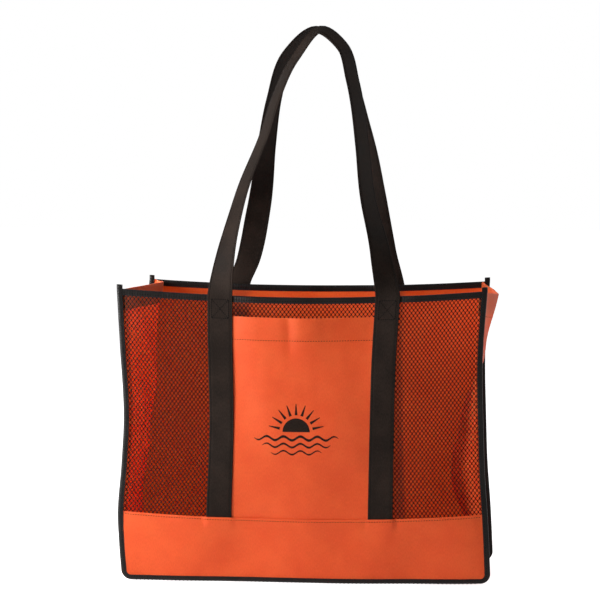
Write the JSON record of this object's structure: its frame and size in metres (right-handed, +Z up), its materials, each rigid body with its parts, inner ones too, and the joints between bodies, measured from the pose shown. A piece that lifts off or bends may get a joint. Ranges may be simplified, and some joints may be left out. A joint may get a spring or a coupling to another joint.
{
  "type": "beach bag",
  "caption": "Large open-topped tote with a mesh front, cloth back, gussets and base, an outside pocket, bound edges and long shoulder straps.",
  "frame": {"origin": "centre of the underside of the base, on the surface the bag stands on", "axes": "+Z up, -Y out of the mesh front, +X to the right as seen from the front"},
  "size_m": [0.457, 0.1702, 0.6777],
  "materials": {
    "black_mesh": "matte",
    "orange_cloth": "matte",
    "black_strap": "matte",
    "black_binding": "matte",
    "black_thread": "matte",
    "orange_thread": "matte"
  },
  "bodies": {
    "bag": {"front_mesh_panel": "black_mesh", "back_panel": "orange_cloth", "left_gusset": "orange_cloth", "right_gusset": "orange_cloth", "base_panel": "orange_cloth", "front_edge_binding": "black_binding", "back_edge_binding": "black_binding", "front_top_binding": "black_binding", "back_top_binding": "black_binding", "front_base_band": "orange_cloth", "band_stitch": "orange_thread", "front_pocket": "orange_cloth", "pocket_hem_stitch": "black_thread", "front_left_strap": "black_strap", "front_right_strap": "black_strap", "back_left_strap": "black_strap", "back_right_strap": "black_strap", "front_box_stitches": "black_thread", "back_box_stitches": "black_thread"},
    "front_loop": {"front_handle": "black_strap"},
    "back_loop": {"back_handle": "black_strap"}
  },
  "joints": [
    {"name": "front_handle_swing", "type": "hinge", "parent": "bag", "child": "front_loop", "pos_m": [0, -0.08, 0.357], "axis": [1, 0, 0], "range_deg": [0, 172]},
    {"name": "back_handle_swing", "type": "hinge", "parent": "bag", "child": "back_loop", "pos_m": [0, 0.08, 0.357], "axis": [-1, 0, 0], "range_deg": [0, 172]}
  ]
}
